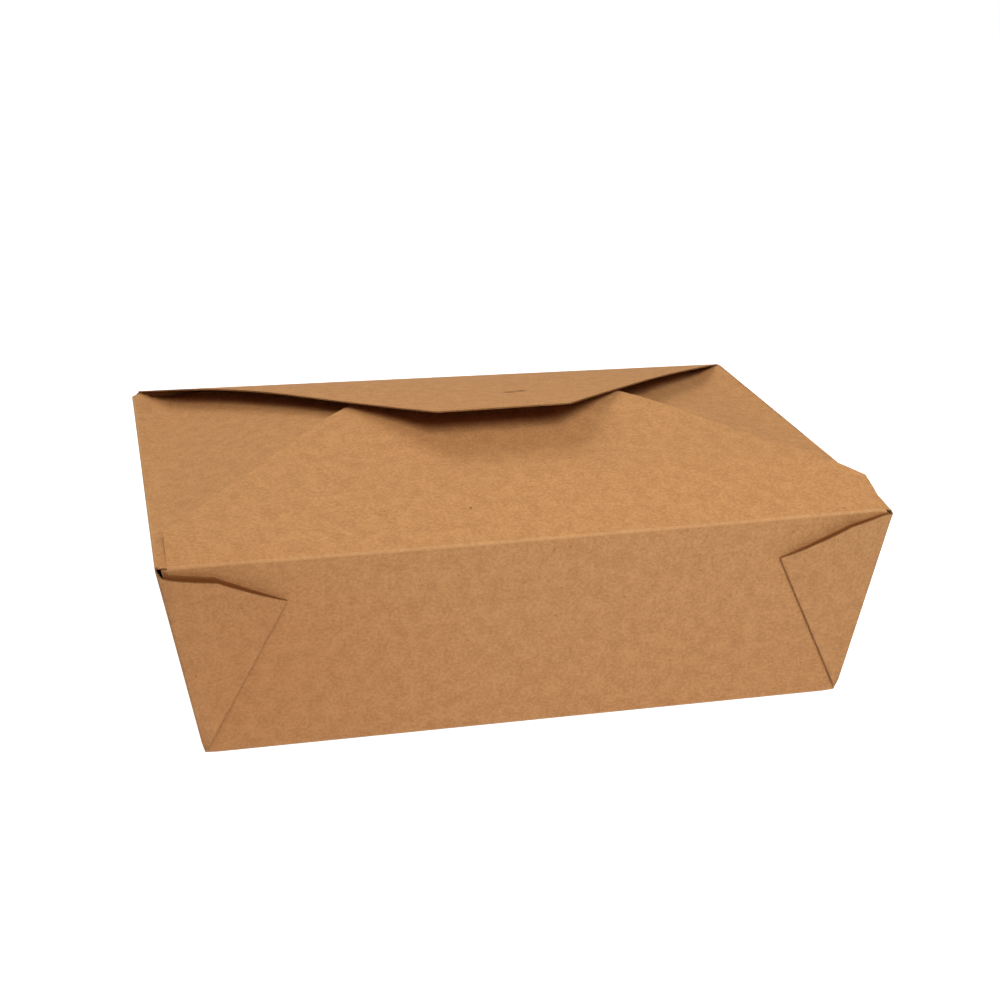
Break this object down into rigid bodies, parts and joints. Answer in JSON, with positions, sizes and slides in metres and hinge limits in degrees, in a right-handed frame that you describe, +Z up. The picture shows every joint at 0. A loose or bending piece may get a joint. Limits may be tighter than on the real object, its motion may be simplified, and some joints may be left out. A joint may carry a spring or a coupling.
{
  "type": "kraft lunch box",
  "caption": "Closed rectangular food box folded from one sheet of brown kraft board, with flared walls, doubled web corners and overlapping top flaps.",
  "frame": {"origin": "middle of the base, on the surface that the box stands on", "axes": "+X along the long side, +Y from the front wall to the back wall, +Z up"},
  "size_m": [0.2188, 0.1598, 0.0877],
  "materials": {
    "kraft_board": "uncoated brown kraft board, matt, with fine short fibres and paler fold lines"
  },
  "bodies": {
    "box": {"box_sheet": "kraft_board"},
    "back_flap": {"back_flap": "kraft_board"}
  },
  "joints": [
    {"name": "back_flap_fold", "type": "hinge", "parent": "box", "child": "back_flap", "pos_m": [0, 0.07875, 0.06285], "axis": [-1, 0, 0], "range_deg": [0, 150]}
  ]
}
